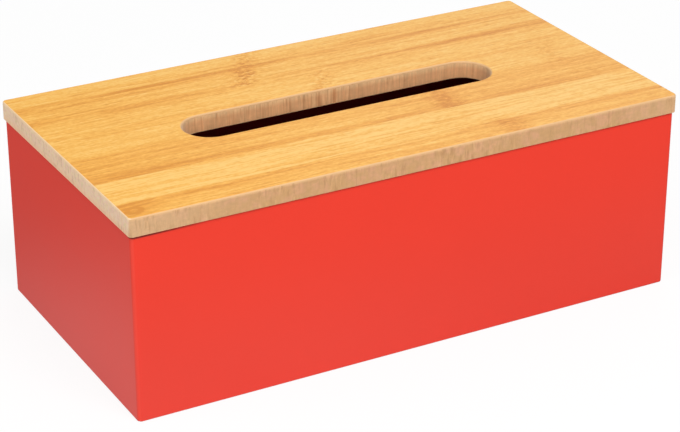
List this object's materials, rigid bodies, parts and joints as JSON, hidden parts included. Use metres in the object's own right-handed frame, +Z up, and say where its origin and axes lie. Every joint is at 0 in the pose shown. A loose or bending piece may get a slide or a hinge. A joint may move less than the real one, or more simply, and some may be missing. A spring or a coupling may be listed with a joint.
{
  "type": "tissue box",
  "caption": "Rectangular tissue box: painted fibreboard walls and base under a lift-off bamboo-faced lid with one long rounded slot.",
  "frame": {"origin": "middle of the footprint, on the surface that the box stands on", "axes": "+X along the length, +Y across to the back, +Z up through the lid"},
  "size_m": [0.25, 0.13, 0.088],
  "materials": {
    "red_paint": "satin red paint over fibreboard",
    "raw_fibreboard": "bare fibreboard, routed edges",
    "bamboo": "matt lacquered bamboo strip veneer"
  },
  "bodies": {
    "box": {"front_wall": "red_paint", "right_wall": "red_paint", "back_wall": "red_paint", "left_wall": "red_paint", "base_panel": "red_paint"},
    "lid": {"lid_board": "raw_fibreboard", "lid_veneer": "bamboo", "lid_batten_left": "raw_fibreboard", "lid_batten_right": "raw_fibreboard"}
  },
  "joints": [
    {"name": "lid_lift", "type": "slide", "parent": "box", "child": "lid", "axis": [0, 0, 1], "range_m": [0, 0.1]}
  ]
}
